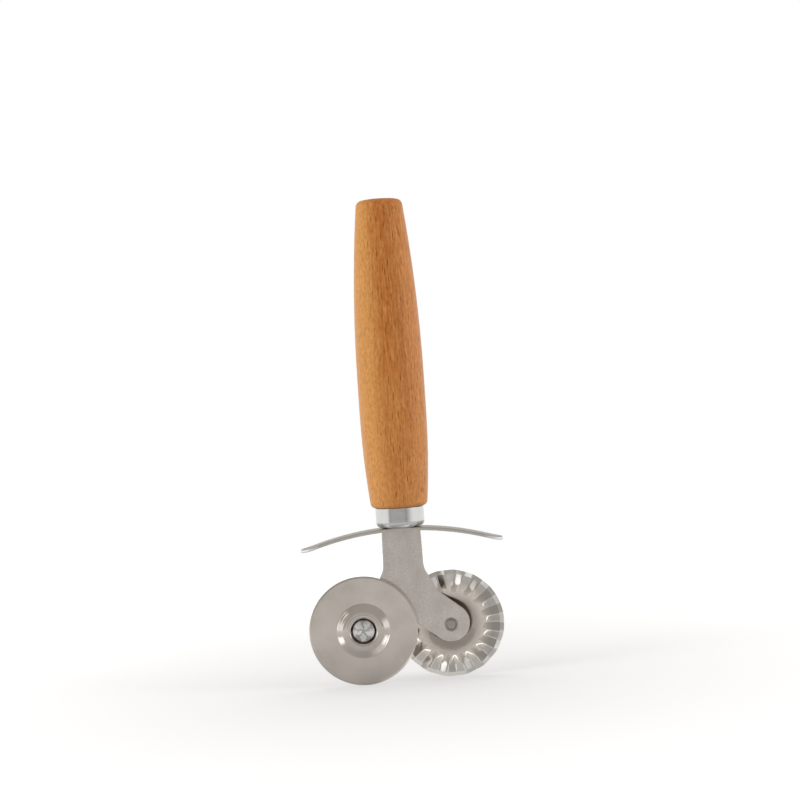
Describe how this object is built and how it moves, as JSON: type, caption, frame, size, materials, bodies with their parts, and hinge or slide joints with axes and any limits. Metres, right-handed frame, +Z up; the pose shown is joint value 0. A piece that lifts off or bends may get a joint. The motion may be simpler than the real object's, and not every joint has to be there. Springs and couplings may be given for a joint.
{
  "type": "double pastry wheel",
  "caption": "Hand tool for cutting dough: a turned wooden handle with a metal finger guard and a plate that carries a smooth and a fluted cutting wheel, each free to spin.",
  "frame": {"origin": "on the handle's axis, level with the lowest point of the smooth wheel", "axes": "+Z up along the handle from the wheels to the butt; -Y to the front, where the smooth wheel lies; +X to the right, towards the fluted wheel"},
  "size_m": [0.0784, 0.0258, 0.1868],
  "materials": {
    "varnished_beech": "clear satin varnish on turned beech",
    "polished_aluminium": "polished",
    "guard_steel": "satin stainless strip",
    "plate_steel": "fine brushed stainless sheet",
    "smooth_wheel_steel": "satin stainless sheet",
    "fluted_wheel_steel": "polished stainless sheet",
    "rivet_steel": "turned steel"
  },
  "bodies": {
    "tool": {"handle": "varnished_beech", "ferrule": "polished_aluminium", "finger_guard": "guard_steel", "wheel_plate": "plate_steel", "smooth_wheel_rivet": "rivet_steel", "fluted_wheel_rivet": "rivet_steel"},
    "smooth_wheel": {"smooth_wheel": "smooth_wheel_steel"},
    "fluted_wheel": {"fluted_wheel": "fluted_wheel_steel"}
  },
  "joints": [
    {"name": "smooth_wheel_spin", "type": "hinge", "parent": "tool", "child": "smooth_wheel", "pos_m": [-0.017, -0.0013, 0.021], "axis": [0, 1, 0], "continuous": true},
    {"name": "fluted_wheel_spin", "type": "hinge", "parent": "tool", "child": "fluted_wheel", "pos_m": [0.017, 0.0013, 0.021], "axis": [0, 1, 0], "continuous": true}
  ]
}
